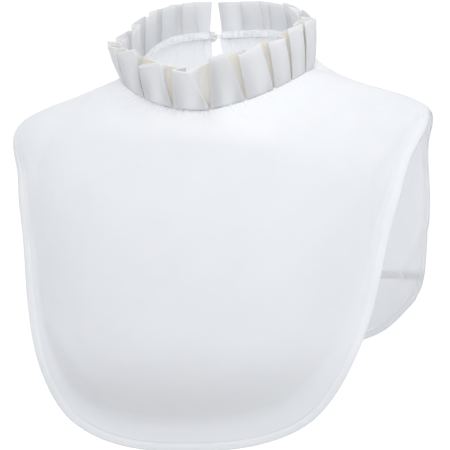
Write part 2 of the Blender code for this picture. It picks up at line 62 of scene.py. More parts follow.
BACK_TURN_DEG = (9.3, 5.6, 3.0, 0.9, 0.0, 0.0)
FRONT_HEM_DEG = (-90.0, -84.0, -79.0, -70.5, -63.2, -57.1, -50.4, -46.5, -40.2, -34.4, -30.2,
                 -24.8, -19.6, -15.0, -10.0, 0.0, 10.0, 15.5, 20.5, 26.0, 31.6, 36.0, 42.0,
                 48.6, 52.7, 59.5, 65.5, 72.0, 79.0, 84.0, 90.0)
FRONT_HEM_LEVEL = (2.08, 2.15, 2.28, 2.55, 3.00, 3.60, 4.30, 4.93, 5.82, 6.31, 6.53, 6.69, 6.79,
                   6.85, 6.89, 6.90, 6.84, 6.77, 6.68, 6.53, 6.29, 6.03, 5.53, 4.75, 4.27,
                   3.60, 3.00, 2.55, 2.28, 2.15, 2.08)
ROLL_DEG = (-90.0, -76.0, -60.0, -45.0, -25.0, 0.0, 25.0, 38.0, 50.0, 72.0, 82.0, 90.0)
ROLL_WIDTH = (0.0080, 0.0080, 0.0080, 0.0090, 0.0140, 0.0180, 0.0180, 0.0140, 0.0100, 0.0098,
              0.0090, 0.0080)
ROLL_DEPTH = (0.0, 0.0004, 0.0016, 0.0036, 0.0060, 0.0066, 0.0056, 0.0046, 0.0046, 0.0038,
              0.0006, 0.0)
CLOTH_FOLDS = (
    # angle and level of one end, angle and level of the other, width, depth
    (-70.0, 1.05, -50.0, 2.60, 0.0100, 0.0022),
    (66.0, 0.95, 52.0, 2.30, 0.0110, 0.0013),
    (-58.0, 0.80, -38.0, 1.80, 0.0060, 0.0007),
    (64.0, 1.30, 72.0, 1.80, 0.0040, 0.0012),
    (-32.0, 0.54, -2.0, 0.63, 0.0140, 0.0062),
    (-14.0, 0.90, -8.0, 1.70, 0.0060, 0.0008),
    (14.0, 0.80, 30.0, 1.60, 0.0070, 0.0006),
    (101.0, 3.60, 108.0, 4.90, 0.0220, 0.0020),
    (-101.0, 3.60, -108.0, 4.90, 0.0220, 0.0020),
    (90.0, 1.75, 90.0, 2.10, 0.0150, 0.0012),
    (-90.0, 1.75, -90.0, 2.10, 0.0150, 0.0008),
    (-37.5, 5.24, -22.3, 6.09, 0.0080, -0.0012),
    (116.0, 4.55, 131.0, 5.10, 0.0045, 0.0016),
    (-116.0, 4.55, -131.0, 5.10, 0.0045, 0.0014),
    (131.5, 5.20, 127.0, 5.62, 0.0022, 0.0007),
    (131.5, 5.30, 139.0, 5.52, 0.0024, 0.0007),
    (131.5, 5.20, 141.0, 5.08, 0.0026, 0.0006),
    (-131.5, 5.20, -127.0, 5.62, 0.0022, 0.0006),
    (-131.5, 5.30, -139.0, 5.52, 0.0024, 0.0007),
)
SHIRTING_THICKNESS = 0.0007
HEM_THICKNESS = 0.0014
HEM_WIDTH = 0.0058
HEM_STEP = 0.0005
STITCH_LINE = 0.0050
GROOVE_DEPTH = 0.0006
GROOVE_WIDTH = 0.0006
GROOVE_ENDS_DEG = 84.0
STITCH_LIFT_OUTSIDE = 0.00045
STITCH_LIFT_INSIDE = 0.00060
EDGE_SAMPLES = 2400
BODY_ROWS = 62
SHOULDER_ROW = 26
SHOULDER_LEVEL = 2.0
SHIRTING_WEAVE = 9000.0
HEM_ROWS = (0.0, 0.0005, 0.0014, 0.0028, 0.0042, 0.0050, 0.0056, 0.0062, 0.0072)


def soft_curve(knots, values, at):
    """Reads a smooth curve through (knots, values)."""
    knots = np.asarray(knots, float)
    values = np.asarray(values, float)
    at = np.clip(np.asarray(at, float), knots[0], knots[-1])
    slopes = np.gradient(values, knots)
    left = np.clip(np.searchsorted(knots, at, side="right") - 1, 0, len(knots) - 2)
    step = knots[left + 1] - knots[left]
    t = (at - knots[left]) / step
    return ((2 * t**3 - 3 * t**2 + 1) * values[left]
            + (t**3 - 2 * t**2 + t) * step * slopes[left]
            + (3 * t**2 - 2 * t**3) * values[left + 1]
            + (t**3 - t**2) * step * slopes[left + 1])


def body_point(deg, level):
    """A place on the chest, neck and back that the collar is shaped to."""
    ring = {name: soft_curve(BODY_RINGS["level"], BODY_RINGS[name], level)
            for name in BODY_RINGS}
    angle = np.radians(np.asarray(deg, float))
    power = 2.0 / ring["squareness"]
    ahead = np.sign(np.cos(angle)) * np.abs(np.cos(angle)) ** power
    aside = np.sign(np.sin(angle)) * np.abs(np.sin(angle)) ** power
    depth = np.where(ahead > 0, ring["front_depth"], ring["back_depth"])
    lift = np.where(ahead > 0,
                    -ring["front_drop"] * np.abs(ahead) ** ring["front_bow"],
                    ring["back_rise"]
                    * (1.0 - np.maximum(1.0 - ahead**2, 0.0) ** ring["back_bow"]))
    return np.stack((ring["half_width"] * aside, -ahead * depth, ring["height"] + lift), -1)


def cloth_base(deg, level):
    """The body form with the back turned a little, so that its slit sits aside."""
    deg = np.asarray(deg, float)
    level = np.asarray(level, float)
    backness = ((1.0 - np.cos(np.radians(deg))) / 2.0) ** 2
    return body_point(deg + soft_curve(BACK_TURN_LEVELS, BACK_TURN_DEG, level) * backness,
                      level)


def cloth_normal(deg, level, step=0.05):
    """Straight out of the cloth."""
    along = cloth_base(deg + step, level) - cloth_base(deg - step, level)
    down = (cloth_base(deg, np.minimum(level + step, 7.0))
            - cloth_base(deg, np.maximum(level - step, 0.0)))
    normal = np.cross(down, along)
    return normal / np.linalg.norm(normal, axis=-1, keepdims=True)


def distance_to_line(points, start, end):
    """Distances from points to a straight piece of line."""
    span = end - start
    share = np.clip((points - start) @ span / (span @ span), 0.0, 1.0)
    return np.linalg.norm(points - start - share[..., None] * span, axis=-1)


def neck_gathers(deg, level):
    """The many small uneven gathers that the neck seam draws in the cloth."""
    wander = (1.9 * np.sin(np.radians(deg * 7.0) + 0.6) + 1.3 * np.sin(np.radians(deg * 17.0))
              + 0.8 * np.sin(np.radians(deg * 31.0) + 2.0))
    fine = np.cos(np.radians(deg * 140.0) + wander)
    broad = np.cos(np.radians(deg * 60.0) + 0.5 * wander)
    reach = 0.27 + 0.10 * np.sin(np.radians(deg * 23.0) + 1.0)
    middle = 0.18 + 0.82 * np.exp(-((deg + 6.0) / 42.0) ** 2)
    middle = np.where(np.abs(deg) > 90.0, 0.45, middle)
    rooted = np.minimum(1.0, level / 0.30)
    slow = np.exp(-((level - 0.30) / 0.40) ** 2) * rooted
    return (0.00055 * fine * np.exp(-(level / reach) ** 2) * middle
            + 0.00016 * broad * slow * middle)


def hem_roll(from_edge, width, depth, reach=0.026):
    """How the cloth sinks just inside its hem and stands up again along the edge."""
    strip = 1.0 - from_edge / width
    inside = np.exp(-(np.maximum(from_edge - width, 0.0) / reach) ** 1.4)
    return np.where(strip > 0.0, depth * (1.26 * strip - 1.0), -depth * inside)


def hem_groove(from_edge, away_deg):
    """How deep the topstitching pulls the cloth in, fading out before the shoulder tips."""
    return (GROOVE_DEPTH * np.clip((GROOVE_ENDS_DEG - away_deg) / 6.0, 0.0, 1.0)
            * np.exp(-((from_edge - STITCH_LINE) / GROOVE_WIDTH) ** 2))


def hem_weight(from_edge):
    """1 in the folded hem and 0 in the single cloth, with a narrow step between them."""
    return np.clip((HEM_WIDTH - from_edge) / HEM_STEP + 0.5, 0.0, 1.0)


def cloth_point(deg, level, outward=0.0):
    """A place on the finished cloth, with its folds and gathers."""
    deg = np.asarray(deg, float)
    level = np.asarray(level, float)
    base = cloth_base(deg, level)
    stand = neck_gathers(deg, level) + outward
    for deg_a, level_a, deg_b, level_b, width, depth in CLOTH_FOLDS:
        distance = distance_to_line(base, cloth_base(deg_a, level_a),
                                    cloth_base(deg_b, level_b))
        stand = stand - depth * np.exp(-(distance / width) ** 2)
    return base + cloth_normal(deg, level) * stand[..., None]


def hem_levels(deg, hem_level):
    """The level of every row of cloth in every column: the last rows crowd into the hem."""
    samples = 240
    shares = np.linspace(0.0, 1.0, samples)
    levels = SHOULDER_LEVEL + (hem_level[:, None] - SHOULDER_LEVEL) * shares[None, :]
    places = cloth_base(np.repeat(deg[:, None], samples, 1), levels)
    steps = np.linalg.norm(np.diff(places, axis=1), axis=2)
    run = np.concatenate((np.zeros((len(deg), 1)), np.cumsum(steps, axis=1)), axis=1)
    along = np.gradient(places[:, -1], axis=0)
    down = places[:, -1] - places[:, -4]
    crossing = np.linalg.norm(np.cross(along, down), axis=1)
    crossing /= np.linalg.norm(along, axis=1) * np.linalg.norm(down, axis=1)
    stretch = 1.0 / np.clip(crossing, 0.25, 1.0)
    result = np.zeros((len(deg), BODY_ROWS + len(HEM_ROWS)))
    for column in range(len(deg)):
        length = run[column, -1]
        band = np.array(HEM_ROWS) * min(stretch[column], 0.75 * length / HEM_ROWS[-1])
        body_rows = BODY_ROWS - SHOULDER_ROW
        body = (length - band[-1]) * np.arange(body_rows) / body_rows
        marks = np.concatenate((body, length - band[::-1]))
        below = np.interp(marks, run[column], levels[column])
        above = SHOULDER_LEVEL * (np.arange(SHOULDER_ROW) / SHOULDER_ROW) ** 1.25
        result[column] = np.concatenate((above, below))
    return result


def grid_mesh(name, places, uv):
    """Makes a sheet from a table of places, first along its columns and then its rows."""
    columns, rows = places.shape[:2]
    bpy.ops.object.select_all(action="DESELECT")
    bpy.ops.mesh.primitive_grid_add(x_subdivisions=columns - 1, y_subdivisions=rows - 1,
                                    size=1.0)
    sheet = bpy.context.object
    sheet.name = name
    flat = np.zeros(len(sheet.data.vertices) * 3)
    sheet.data.vertices.foreach_get("co", flat)
    flat = flat.reshape(-1, 3)
    column = np.rint((flat[:, 0] + 0.5) * (columns - 1)).astype(int)
    row = np.rint((flat[:, 1] + 0.5) * (rows - 1)).astype(int)
    sheet.data.vertices.foreach_set("co", places[column, row].ravel())
    loops = np.zeros(len(sheet.data.loops), int)
    sheet.data.loops.foreach_get("vertex_index", loops)
    sheet.data.uv_layers[0].data.foreach_set("uv", uv[column[loops], row[loops]].ravel())
    sheet.data.update()
    return sheet, column, row


def run_lengths(places):
    """How far each place lies along its row and down its column, in metres."""
    steps = np.linalg.norm(np.diff(places, axis=0), axis=2)
    middle = places.shape[0] // 2
    across = np.concatenate((np.zeros((1, places.shape[1])), np.cumsum(steps, axis=0)))
    across = across - across[middle][None, :]
    steps = np.linalg.norm(np.diff(places, axis=1), axis=2)
    down = np.concatenate((np.zeros((places.shape[0], 1)), np.cumsum(steps, axis=1)), axis=1)
    return np.stack((across, down), -1)


def edge_distance(places, edge):
    """How far each place lies from a sewn edge."""
    tree = kdtree.KDTree(len(edge))
    for number, place in enumerate(edge):
        tree.insert(place, number)
    tree.balance()
    flat = places.reshape(-1, 3)
    found = np.array([tree.find(place)[2] for place in flat])
    return found.reshape(places.shape[:2])


def thicken(sheet, thickness, weights=None, thinnest=0.5, rounding=0, inner_slot=0):
    """Gives a sheet the thickness of its cloth, with hems thicker than the rest."""
    bpy.ops.object.select_all(action="DESELECT")
    bpy.context.view_layer.objects.active = sheet
    sheet.select_set(True)
    if weights is not None:
        group = sheet.vertex_groups.new(name="hem")
        for number, weight in enumerate(weights):
            group.add([number], float(weight), "REPLACE")
    if rounding:
        smoother = sheet.modifiers.new("rounding", "SUBSURF")
        smoother.levels = rounding
        smoother.render_levels = rounding
        bpy.ops.object.modifier_apply(modifier=smoother.name)
    wall = sheet.modifiers.new("thickness", "SOLIDIFY")
    wall.thickness = thickness
    wall.offset = 0.0
    wall.use_quality_normals = True
    wall.material_offset = inner_slot
    if weights is not None:
        wall.vertex_group = "hem"
        wall.thickness_vertex_group = thinnest
    bpy.ops.object.modifier_apply(modifier=wall.name)
    bpy.ops.object.shade_smooth()


def sheet_normals(places):
    """Straight out of a sheet that is given as a table of places."""
    normals = np.cross(np.gradient(places, axis=1), np.gradient(places, axis=0))
    return normals / np.maximum(np.linalg.norm(normals, axis=-1, keepdims=True), 1e-12)


def weave_group():
    """The plain weave of cotton shirting, as a height from 0 to 1, read from cloth lengths."""
    group = bpy.data.node_groups.new("plain weave", "ShaderNodeTree")
    group.interface.new_socket(name="Length Map", in_out="INPUT", socket_type="NodeSocketVector")
    group.interface.new_socket(name="Threads", in_out="INPUT", socket_type="NodeSocketFloat")
    group.interface.new_socket(name="Height", in_out="OUTPUT", socket_type="NodeSocketFloat")
    nodes = group.nodes
    links = group.links
    entry = nodes.new("NodeGroupInput")
    leave = nodes.new("NodeGroupOutput")
    slubs = nodes.new("ShaderNodeTexNoise")
    slubs.inputs["Scale"].default_value = 90.0
    slubs.inputs["Detail"].default_value = 3.0
    nudge = nodes.new("ShaderNodeVectorMath")
    nudge.operation = "MULTIPLY_ADD"
    nudge.inputs[1].default_value = (0.0012, 0.0012, 0.0)
    links.new(entry.outputs["Length Map"], slubs.inputs["Vector"])
    links.new(slubs.outputs["Color"], nudge.inputs[0])
    links.new(entry.outputs["Length Map"], nudge.inputs[2])
    split = nodes.new("ShaderNodeSeparateXYZ")
    links.new(nudge.outputs["Vector"], split.inputs["Vector"])
    waves = []
    for axis in ("X", "Y"):
        scale = nodes.new("ShaderNodeMath")
        scale.operation = "MULTIPLY"
        links.new(split.outputs[axis], scale.inputs[0])
        links.new(entry.outputs["Threads"], scale.inputs[1])
        wave = nodes.new("ShaderNodeMath")
        wave.operation = "SINE"
        links.new(scale.outputs[0], wave.inputs[0])
        waves.append(wave)
    product = nodes.new("ShaderNodeMath")
    product.operation = "MULTIPLY_ADD"
    product.inputs[2].default_value = 0.5
    half = nodes.new("ShaderNodeMath")
    half.operation = "MULTIPLY"
    half.inputs[1].default_value = 0.5
    links.new(waves[0].outputs[0], half.inputs[0])
    links.new(half.outputs[0], product.inputs[0])
    links.new(waves[1].outputs[0], product.inputs[1])
    links.new(product.outputs[0], leave.inputs["Height"])
    return group


def woven_material(name, pale, shaded, roughness, threads, bump):
    """A white woven cloth: faint mottling, painted shade in its weave's hollows, soft sheen and
    the weave's relief.
    """
    material = bpy.data.materials.new(name)
    material.use_nodes = True
    nodes = material.node_tree.nodes
    links = material.node_tree.links
    surface = nodes["Principled BSDF"]
    surface.inputs["Roughness"].default_value = roughness
    surface.inputs["Sheen Weight"].default_value = 0.15
    surface.inputs["Sheen Roughness"].default_value = 0.6
    surface.inputs["Specular IOR Level"].default_value = 0.25
    surface.inputs["Subsurface Weight"].default_value = 0.75
    surface.inputs["Subsurface Radius"].default_value = (1.0, 0.95, 0.9)
    surface.inputs["Subsurface Scale"].default_value = 0.004
    lengths = nodes.new("ShaderNodeUVMap")
    lengths.uv_map = "UVMap"
    weave = nodes.new("ShaderNodeGroup")
    weave.node_tree = bpy.data.node_groups.get("plain weave") or weave_group()
    weave.inputs["Threads"].default_value = threads
    links.new(lengths.outputs["UV"], weave.inputs["Length Map"])
    mottle = nodes.new("ShaderNodeTexNoise")
    mottle.inputs["Scale"].default_value = 22.0
    mottle.inputs["Detail"].default_value = 4.0
    links.new(lengths.outputs["UV"], mottle.inputs["Vector"])
    # The colour follows random mottling and, as painted shade, turns darker where the weave's
    # height is low.
    mottle_and_weave_shade = nodes.new("ShaderNodeMath")
    mottle_and_weave_shade.operation = "MULTIPLY_ADD"
    mottle_and_weave_shade.inputs[1].default_value = 0.35
    links.new(weave.outputs["Height"], mottle_and_weave_shade.inputs[0])
    links.new(mottle.outputs["Fac"], mottle_and_weave_shade.inputs[2])
    tint = nodes.new("ShaderNodeValToRGB")
    tint.color_ramp.elements[0].position = 0.30
    tint.color_ramp.elements[0].color = (*shaded, 1.0)
    tint.color_ramp.elements[1].position = 0.80
    tint.color_ramp.elements[1].color = (*pale, 1.0)
    links.new(mottle_and_weave_shade.outputs[0], tint.inputs["Fac"])
    links.new(tint.outputs["Color"], surface.inputs["Base Color"])
    relief = nodes.new("ShaderNodeBump")
    relief.inputs["Strength"].default_value = bump
    relief.inputs["Distance"].default_value = 0.00004
    links.new(weave.outputs["Height"], relief.inputs["Height"])
    links.new(relief.outputs["Normal"], surface.inputs["Normal"])
    return material


def stitch_places(line, out, pitch):
    """The middle, the heading and the outward side of every stitch along a line."""
    runs = np.linalg.norm(np.diff(line, axis=0), axis=1)
    marks = np.concatenate(((0.0,), np.cumsum(runs)))
    count = max(2, int(marks[-1] / pitch))
    at = (np.arange(count) + 0.5) * marks[-1] / count
    middle = np.stack([np.interp(at, marks, line[:, k]) for k in range(3)], -1)
    ahead = np.stack([np.interp(at + 0.0008, marks, line[:, k])
                      - np.interp(at - 0.0008, marks, line[:, k]) for k in range(3)], -1)
    ahead /= np.linalg.norm(ahead, axis=1, keepdims=True)
    facing = np.stack([np.interp(at, marks, out[:, k]) for k in range(3)], -1)
    side = np.cross(facing, ahead)
    side /= np.linalg.norm(side, axis=1, keepdims=True)
    return middle, ahead, np.cross(ahead, side), side


def stitch_rows(name, lines, material, length=0.0023, width=0.00016, pitch=0.0029):
    """Rows of lockstitches: short threads that dip into the cloth at both their ends."""
    profile = ((-0.5, 0.35, -1.0), (-0.3, 1.0, 0.0), (0.3, 1.0, 0.0), (0.5, 0.35, -1.0))
    verts = []
    faces = []
    for line, out in lines:
        middle, ahead, facing, side = stitch_places(np.asarray(line), np.asarray(out), pitch)
        for share, grow, sink in profile:
            for turn in range(6):
                angle = math.tau * turn / 6
                verts.append(middle + ahead * share * length
                             + side * math.cos(angle) * width * grow
                             + facing * (math.sin(angle) * width * grow + sink * width))
    first = 0
    for number in range(0, len(verts), 24):
        count = len(verts[number])
        for stitch in range(count):
            corner = [first + ring * count + stitch for ring in range(24)]
            for low in (0, 6, 12):
                for turn in range(6):
                    after = (turn + 1) % 6
                    faces.append((corner[low + turn], corner[low + after],
                                  corner[low + 6 + after], corner[low + 6 + turn]))
            faces.append(tuple(corner[turn] for turn in reversed(range(6))))
            faces.append(tuple(corner[18 + turn] for turn in range(6)))
        first += 24 * count
    mesh = bpy.data.meshes.new(name)
    mesh.from_pydata(np.concatenate(verts).tolist(), [], faces)
    mesh.shade_smooth()
    rows = bpy.data.objects.new(name, mesh)
    bpy.context.collection.objects.link(rows)
    rows.data.materials.append(material)
    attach(rows, "root")


def twisted_material(name, pale, shaded, roughness, scale):
    """Twisted white sewing thread, read from the object's own coordinates."""
    material = bpy.data.materials.new(name)
    material.use_nodes = True
    nodes = material.node_tree.nodes
    links = material.node_tree.links
    surface = nodes["Principled BSDF"]
    surface.inputs["Roughness"].default_value = roughness
    surface.inputs["Specular IOR Level"].default_value = 0.3
    where = nodes.new("ShaderNodeTexCoord")
    strands = nodes.new("ShaderNodeTexNoise")
    strands.inputs["Scale"].default_value = scale
    strands.inputs["Detail"].default_value = 2.0
    links.new(where.outputs["Object"], strands.inputs["Vector"])
    tint = nodes.new("ShaderNodeValToRGB")
    tint.color_ramp.elements[0].position = 0.35
    tint.color_ramp.elements[0].color = (*shaded, 1.0)
    tint.color_ramp.elements[1].position = 0.65
    tint.color_ramp.elements[1].color = (*pale, 1.0)
    links.new(strands.outputs["Fac"], tint.inputs["Fac"])
    links.new(tint.outputs["Color"], surface.inputs["Base Color"])
    relief = nodes.new("ShaderNodeBump")
    relief.inputs["Strength"].default_value = 0.3
    relief.inputs["Distance"].default_value = 0.0001
    links.new(strands.outputs["Fac"], relief.inputs["Height"])
    links.new(relief.outputs["Normal"], surface.inputs["Normal"])
    return material


shirting = woven_material("white shirting", (0.84, 0.85, 0.87), (0.80, 0.81, 0.835), 0.80,
                          SHIRTING_WEAVE, 0.25)
sewing_thread = twisted_material("white sewing thread", (0.86, 0.86, 0.87),
                                 (0.78, 0.78, 0.80), 0.60, 3000.0)

front_deg = np.linspace(-90.0, 90.0, 361)
front_hem = soft_curve(FRONT_HEM_DEG, FRONT_HEM_LEVEL, front_deg)
front_levels = hem_levels(front_deg, front_hem)
front_grid_deg = np.repeat(front_deg[:, None], front_levels.shape[1], 1)
front_edge_deg = np.linspace(-90.0, 90.0, EDGE_SAMPLES)
front_edge = cloth_point(front_edge_deg,
                         soft_curve(FRONT_HEM_DEG, FRONT_HEM_LEVEL, front_edge_deg))
front_places = cloth_point(front_grid_deg, front_levels)
front_from_edge = edge_distance(front_places, front_edge)
front_roll_width = soft_curve(ROLL_DEG, ROLL_WIDTH, front_grid_deg)
front_roll_depth = soft_curve(ROLL_DEG, ROLL_DEPTH, front_grid_deg)
front_stand = (hem_roll(front_from_edge, front_roll_width, front_roll_depth)
               - hem_groove(front_from_edge, np.abs(front_grid_deg)))
front_places = cloth_point(front_grid_deg, front_levels, front_stand)
front_bib, front_column, front_row = grid_mesh("front_bib", front_places,
                                               run_lengths(front_places))
thicken(front_bib, HEM_THICKNESS, hem_weight(front_from_edge)[front_column, front_row],
        SHIRTING_THICKNESS / HEM_THICKNESS)
front_bib.data.materials.append(shirting)
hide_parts("front_panel")
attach(front_bib, "root")
front_line = front_places[:, -6]
front_facing = sheet_normals(front_places)[:, -6]
stitch_rows("front_hem_stitches", ((front_line + front_facing * STITCH_LIFT_OUTSIDE, front_facing),
                                   (front_line - front_facing * STITCH_LIFT_INSIDE,
                                    -front_facing)),
            sewing_thread)


# The back.
# A shorter piece of the same shirting, seamed to the front along the shoulders, with the
# same turned hem. It is slit down from the neck, and the slit's edges are hemmed too.
BACK_HEM_DEG = (0.0, 14.0, 28.0, 37.0, 46.0, 53.4, 58.3, 64.2, 71.3, 78.4, 84.0, 90.0)
BACK_HEM_LEVEL = (6.53, 6.47, 6.33, 6.18, 5.91, 5.63, 5.32, 4.74, 4.16, 3.10, 2.40, 2.10)
SLIT_FOOT_LEVEL = 2.93
SLIT_SPREAD_DEG = 14.0


def slit_half_gap(level):
    """Half the width of the open slit, from the neck down to its foot."""
    share = level / SLIT_FOOT_LEVEL
    widest = 0.22
    above = 0.0040 + 0.0006 * share / widest
    closing = np.clip((1.0 - share) / (1.0 - widest), 0.0, 1.0)
    return np.where(share < widest, above, 0.0046 * closing ** 1.3)


back_away = np.concatenate((np.linspace(0.0, 6.0, 9), np.linspace(6.6, 90.0, 168)))
back_deg = np.concatenate((180.0 - back_away[::-1], 180.0 + back_away))
back_side = np.concatenate((-np.ones(len(back_away)), np.ones(len(back_away))))
back_hem = soft_curve(BACK_HEM_DEG, BACK_HEM_LEVEL, np.abs(back_deg - 180.0))
back_levels = hem_levels(back_deg, back_hem)
middle_column = len(back_away)
back_levels[middle_column - 1] = back_levels[middle_column]
back_grid_deg = np.repeat(back_deg[:, None], back_levels.shape[1], 1)
back_edge_deg = np.linspace(90.0, 270.0, EDGE_SAMPLES)
back_edge = cloth_point(back_edge_deg,
                        soft_curve(BACK_HEM_DEG, BACK_HEM_LEVEL, np.abs(back_edge_deg - 180.0)))
back_places = cloth_point(back_grid_deg, back_levels)
spread = np.clip(1.0 - np.abs(back_grid_deg - 180.0) / SLIT_SPREAD_DEG, 0.0, 1.0)
back_places[..., 0] -= back_side[:, None] * slit_half_gap(back_levels) * spread
back_from_edge = edge_distance(back_places, back_edge)
slit_rows = back_levels[middle_column] < SLIT_FOOT_LEVEL
slit_line = np.concatenate((back_places[middle_column - 1][slit_rows],
                            back_places[middle_column][slit_rows]))
back_from_slit = edge_distance(back_places, slit_line)
back_from_any = np.minimum(back_from_edge, back_from_slit)
back_away_deg = np.abs(back_grid_deg - 180.0)
back_roll_depth = 0.0013 * np.clip((86.0 - back_away_deg) / 14.0, 0.0, 1.0)
back_stand = (hem_roll(back_from_edge, 0.0100, back_roll_depth, 0.015)
              - hem_groove(back_from_any, back_away_deg))
back_places = back_places + cloth_normal(back_grid_deg, back_levels) * back_stand[..., None]
back_bib, back_column, back_row = grid_mesh("back_bib", back_places, run_lengths(back_places))
bpy.ops.object.mode_set(mode="EDIT")
bpy.ops.mesh.select_mode(type="FACE")
bpy.ops.mesh.select_all(action="DESELECT")
bpy.ops.object.mode_set(mode="OBJECT")
open_rows = int(slit_rows.sum())
for face in back_bib.data.polygons:
    corners = list(face.vertices)
    in_middle = all(back_column[corner] in (middle_column - 1, middle_column)
                    for corner in corners)
    face.select = bool(in_middle and min(back_row[corner] for corner in corners) < open_rows)
bpy.ops.object.mode_set(mode="EDIT")
bpy.ops.mesh.delete(type="FACE")
bpy.ops.mesh.select_all(action="SELECT")
bpy.ops.mesh.remove_doubles(threshold=0.00002)
bpy.ops.object.mode_set(mode="OBJECT")
found = kdtree.KDTree(back_places.shape[0] * back_places.shape[1])
for number, place in enumerate(back_places.reshape(-1, 3)):
    found.insert(place, number)
found.balance()
back_weight = hem_weight(back_from_any).ravel()
thicken(back_bib, HEM_THICKNESS, [back_weight[found.find(vert.co)[1]]
                                  for vert in back_bib.data.vertices],
        SHIRTING_THICKNESS / HEM_THICKNESS)
back_bib.data.materials.append(shirting)
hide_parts("back_panel")
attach(back_bib, "root")
back_facings = sheet_normals(back_places)
back_lines = [(back_places[:, -6], back_facings[:, -6])]
for columns in (np.arange(middle_column - 1, middle_column - 60, -1),
                np.arange(middle_column, middle_column + 59)):
    slit_stitches = []
    slit_facing = []
    for row in range(1, open_rows):
        reach = back_from_slit[columns, row]
        slit_stitches.append([np.interp(STITCH_LINE, reach, back_places[columns, row, axis])
                              for axis in range(3)])
        slit_facing.append(back_facings[columns[12], row])
    back_lines.append((np.array(slit_stitches), np.array(slit_facing)))
stitch_rows("back_hem_stitches",
            [(line + facing * STITCH_LIFT_OUTSIDE, facing) for line, facing in back_lines]
            + [(line - facing * STITCH_LIFT_INSIDE, -facing) for line, facing in back_lines],
            sewing_thread)


# The neck ruffle.
# A long strip of the same white cotton, narrowly hemmed on its top edge, laid in inverted
# box pleats and sewn upright into the neck seam. It leans outward and opens at the slit.
RUFFLE_LEAN = {
    "deg": (-171.0, -147.0, -134.0, -118.0, -87.0, -60.0, -39.0, -17.6, 4.6, 25.6, 44.0, 57.0,
            92.0, 107.0, 125.0, 144.0, 164.0, 189.0),
    "x": (-0.0055, -0.0060, -0.0048, -0.0040, -0.0030, 0.0004, 0.0045, 0.0035, -0.0010,
          -0.0065, -0.0062, -0.0040, -0.0010, -0.0030, -0.0045, -0.0058, -0.0068, -0.0076),
    "y": (0.0270, 0.0235, 0.0190, 0.0125, -0.0080, -0.0155, -0.0180, -0.0200, -0.0190,
          -0.0140, -0.0080, -0.0040, 0.0030, 0.0100, 0.0190, 0.0250, 0.0268, 0.0272),
    "rise": (0.0262, 0.0272, 0.0282, 0.0290, 0.0265, 0.0248, 0.0250, 0.0245, 0.0280, 0.0318,
             0.0305, 0.0312, 0.0355, 0.0315, 0.0262, 0.0240, 0.0248, 0.0262),
}
RUFFLE_ENDS_DEG = (-167.0, 185.0)
RUFFLE_TOP_ENDS_DEG = (-168.6, 186.2)
PLEATS = (
    # angle, half opening, depth, drift and slant, then how far the face before it stands
    # up at its two ends, all at the top edge
    (-154.5, 0.0026, 0.0085, 0.0000, 0.0000, 0.0000, 0.0006),
    (-140.0, 0.0024, 0.0080, 0.0000, 0.0000, -0.0008, 0.0004),
    (-125.5, 0.0026, 0.0085, 0.0000, 0.0000, -0.0010, 0.0008),
    (-111.0, 0.0026, 0.0085, 0.0000, 0.0005, 0.0000, 0.0012),
    (-95.0, 0.0030, 0.0090, 0.0000, 0.0015, -0.0010, 0.0010),
    (-78.0, 0.0026, 0.0095, 0.0000, 0.0025, -0.0010, 0.0012),
    (-59.0, 0.0024, 0.0100, 0.0000, 0.0035, -0.0010, 0.0020),
    (-39.1, 0.0016, 0.0100, -0.0010, 0.0045, -0.0004, 0.0070),
    (-17.6, 0.0046, 0.0115, 0.0000, 0.0035, -0.0042, 0.0042),
    (4.6, 0.0070, 0.0110, -0.0005, 0.0080, 0.0000, -0.0025),
    (25.6, 0.0044, 0.0120, 0.0000, 0.0040, 0.0035, 0.0025),
    (44.0, 0.0032, 0.0110, 0.0000, 0.0030, -0.0030, 0.0015),
    (58.0, 0.0018, 0.0090, 0.0000, 0.0025, 0.0000, -0.0015),
    (73.0, 0.0022, 0.0080, 0.0000, 0.0015, 0.0035, 0.0014),
    (90.0, 0.0024, 0.0080, 0.0000, 0.0000, 0.0010, 0.0006),
    (107.0, 0.0024, 0.0080, 0.0000, 0.0000, 0.0000, 0.0010),
    (125.0, 0.0026, 0.0085, 0.0000, 0.0000, -0.0008, 0.0010),
    (144.0, 0.0026, 0.0085, 0.0000, 0.0000, 0.0000, 0.0008),
    (164.0, 0.0026, 0.0085, 0.0000, 0.0000, -0.0006, 0.0006),
)
LAYER_PITCH = 0.0014
FOLD_ROUND = 0.0006
RUFFLE_THICKNESS = 0.0006
RUFFLE_HEM_THICKNESS = 0.0011


def seam_drop(deg, outward):
    """How far the bib lies below the neck seam, a little way out from it."""
    near = body_point(deg, 0.0 * deg)
    far = body_point(deg, 0.0 * deg + 0.15)
    run = np.linalg.norm((far - near)[..., :2], axis=-1)
    return (near - far)[..., 2] / run * (outward + 0.0004) + 0.0003


def neck_outward(deg):
    """Level, and straight out of the neck."""
    along = body_point(deg + 0.5, 0.0) - body_point(deg - 0.5, 0.0)
    outward = np.stack((along[..., 1], -along[..., 0], 0.0 * along[..., 0]), -1)
    return outward / np.linalg.norm(outward, axis=-1, keepdims=True)


def ruffle_place(deg, outward, share):
    """A place on the strip, from the seam, share 0, to its top edge, share 1."""
    deg = np.asarray(deg, float)
    share = np.asarray(share, float)
    lean = np.stack([soft_curve(RUFFLE_LEAN["deg"], RUFFLE_LEAN[axis], deg)
                     for axis in ("x", "y", "rise")], -1)
    seam = body_point(deg, 0.0 * deg) + np.array((0.0, 0.0, 0.0015)) * share[..., None]
    out = outward + 0.0012 * np.sin(np.pi * share)
    foot = np.clip(1.0 - share / 0.10, 0.0, 1.0)
    seam[..., 2] -= seam_drop(deg, outward) * foot
    return seam + lean * share[..., None] + neck_outward(deg) * out[..., None]


def arc_per_degree(deg, share):
    """Length round the ruffle for one degree."""
    ends = ruffle_place(np.array((deg + 0.5, deg - 0.5)), np.zeros(2), np.full(2, share))
    return np.linalg.norm(ends[0] - ends[1])


